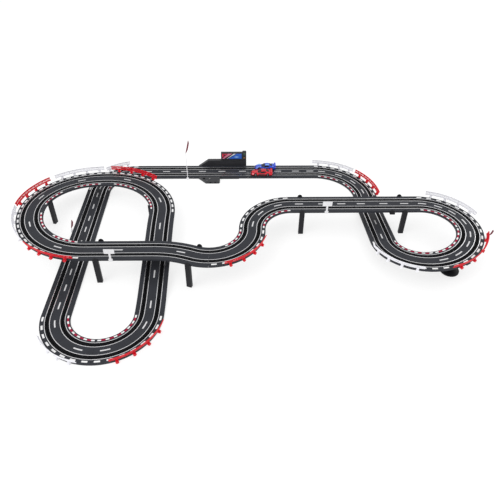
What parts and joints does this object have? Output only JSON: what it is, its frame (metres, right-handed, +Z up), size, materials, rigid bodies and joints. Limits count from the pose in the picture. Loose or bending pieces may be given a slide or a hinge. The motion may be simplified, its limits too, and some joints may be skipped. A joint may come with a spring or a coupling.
{
  "type": "slot car track set",
  "caption": "Two-lane slot car circuit with raised loops and crossovers, conductor rails, supports, guard rails, signs, flags, a powered terminal and toy race cars.",
  "frame": {"origin": "centre of the terminal straight's moulded foot, on the table", "axes": "+X right along the back straight, +Y away from the front of the set, +Z up"},
  "size_m": [2.0748, 1.3479, 0.2293],
  "materials": {
    "road": "satin",
    "rail": "brushed",
    "support": "satin",
    "red_plastic": "gloss",
    "white_plastic": "gloss",
    "sign_face": "gloss",
    "flag": "satin",
    "housing": "satin",
    "board": "lacquered",
    "display": "printed",
    "green_lamp": "gloss",
    "orange_lamp": "gloss",
    "socket": "gloss",
    "switch": "gloss",
    "blue_body": "gloss",
    "red_body": "gloss",
    "glazing": "tinted",
    "chassis": "satin",
    "motor_can": "satin",
    "brass": "polished",
    "crown": "satin",
    "axle": "polished",
    "wheel": "matte",
    "braid": "woven"
  },
  "bodies": {
    "track_set": {"terminal_straight": "road", "back_straight_left": "road", "back_curve_left": "road", "left_leg": "road", "bottom_bend": "road", "ramp_leg": "road", "big_loop": "road", "front_straight": "road", "offset_curve": "road", "s_curve": "road", "bridge_straights": "road", "right_loop": "road", "underpass_leg": "road", "back_curve_right": "road", "back_straight_right": "road", "left_lane_rails": "rail", "right_lane_rails": "rail", "joint_locks": "road", "support_beams": "support", "support_posts": "support", "red_guard_rails": "red_plastic", "white_guard_rails": "white_plastic", "sign_posts": "white_plastic", "sign_boards": "sign_face", "flag_poles": "white_plastic", "flags": "flag", "far_housing": "housing", "circuit_board": "board", "display_tower": "housing", "display_panel": "display", "lamp_column": "housing", "green_lamp": "green_lamp", "orange_lamp": "orange_lamp", "near_housing": "housing", "sockets": "socket"},
    "power_switch_knob": {"power_switch": "switch"},
    "blue_car": {"blue_shell": "blue_body", "blue_glazing": "glazing", "blue_chassis": "chassis", "blue_motor": "motor_can"},
    "blue_pinion_shaft": {"blue_pinion": "brass"},
    "blue_rear_wheelset": {"blue_crown_gear": "crown", "blue_rear_axle": "axle", "blue_rear_wheels": "wheel"},
    "blue_front_wheelset": {"blue_front_axle": "axle", "blue_front_wheels": "wheel"},
    "blue_guide_blade": {"blue_guide": "chassis", "blue_brushes": "braid"},
    "red_car": {"red_shell": "red_body", "red_glazing": "glazing", "red_chassis": "chassis", "red_motor": "motor_can"},
    "red_pinion_shaft": {"red_pinion": "brass"},
    "red_rear_wheelset": {"red_crown_gear": "crown", "red_rear_axle": "axle", "red_rear_wheels": "wheel"},
    "red_front_wheelset": {"red_front_axle": "axle", "red_front_wheels": "wheel"},
    "red_guide_blade": {"red_guide": "chassis", "red_brushes": "braid"}
  },
  "joints": [
    {"name": "power_switch_slide", "type": "slide", "parent": "track_set", "child": "power_switch_knob", "axis": [1, 0, 0], "range_m": [0, 0.0032]},
    {"name": "blue_car_drive", "type": "slide", "parent": "track_set", "child": "blue_car", "axis": [-1, 0, 0], "range_m": [-0.19, 0.6]},
    {"name": "blue_rear_axle_spin", "type": "hinge", "parent": "blue_car", "child": "blue_rear_wheelset", "pos_m": [0.27, 0.02875, 0.0172], "axis": [0, 1, 0], "continuous": true},
    {"name": "blue_front_axle_spin", "type": "hinge", "parent": "blue_car", "child": "blue_front_wheelset", "pos_m": [0.206, 0.02875, 0.0172], "axis": [0, 1, 0], "continuous": true},
    {"name": "blue_pinion_spin", "type": "hinge", "parent": "blue_car", "child": "blue_pinion_shaft", "pos_m": [0.26325, 0.02875, 0.0172], "axis": [1, 0, 0], "continuous": true},
    {"name": "blue_guide_swivel", "type": "hinge", "parent": "blue_car", "child": "blue_guide_blade", "pos_m": [0.194, 0.02875, 0.009], "axis": [0, 0, 1], "range_deg": [-8, 8]},
    {"name": "red_car_drive", "type": "slide", "parent": "track_set", "child": "red_car", "axis": [-1, 0, 0], "range_m": [-0.21, 0.58]},
    {"name": "red_rear_axle_spin", "type": "hinge", "parent": "red_car", "child": "red_rear_wheelset", "pos_m": [0.249, -0.02875, 0.0172], "axis": [0, 1, 0], "continuous": true},
    {"name": "red_front_axle_spin", "type": "hinge", "parent": "red_car", "child": "red_front_wheelset", "pos_m": [0.185, -0.02875, 0.0172], "axis": [0, 1, 0], "continuous": true},
    {"name": "red_pinion_spin", "type": "hinge", "parent": "red_car", "child": "red_pinion_shaft", "pos_m": [0.24225, -0.02875, 0.0172], "axis": [1, 0, 0], "continuous": true},
    {"name": "red_guide_swivel", "type": "hinge", "parent": "red_car", "child": "red_guide_blade", "pos_m": [0.173, -0.02875, 0.009], "axis": [0, 0, 1], "range_deg": [-8, 8]}
  ],
  "couplings": [
    {"joint": "blue_rear_axle_spin", "follows": "blue_car_drive", "rad_per_m": -125},
    {"joint": "blue_front_axle_spin", "follows": "blue_car_drive", "rad_per_m": -125},
    {"joint": "blue_pinion_spin", "follows": "blue_car_drive", "rad_per_m": 375},
    {"joint": "red_rear_axle_spin", "follows": "red_car_drive", "rad_per_m": -125},
    {"joint": "red_front_axle_spin", "follows": "red_car_drive", "rad_per_m": -125},
    {"joint": "red_pinion_spin", "follows": "red_car_drive", "rad_per_m": 375}
  ]
}
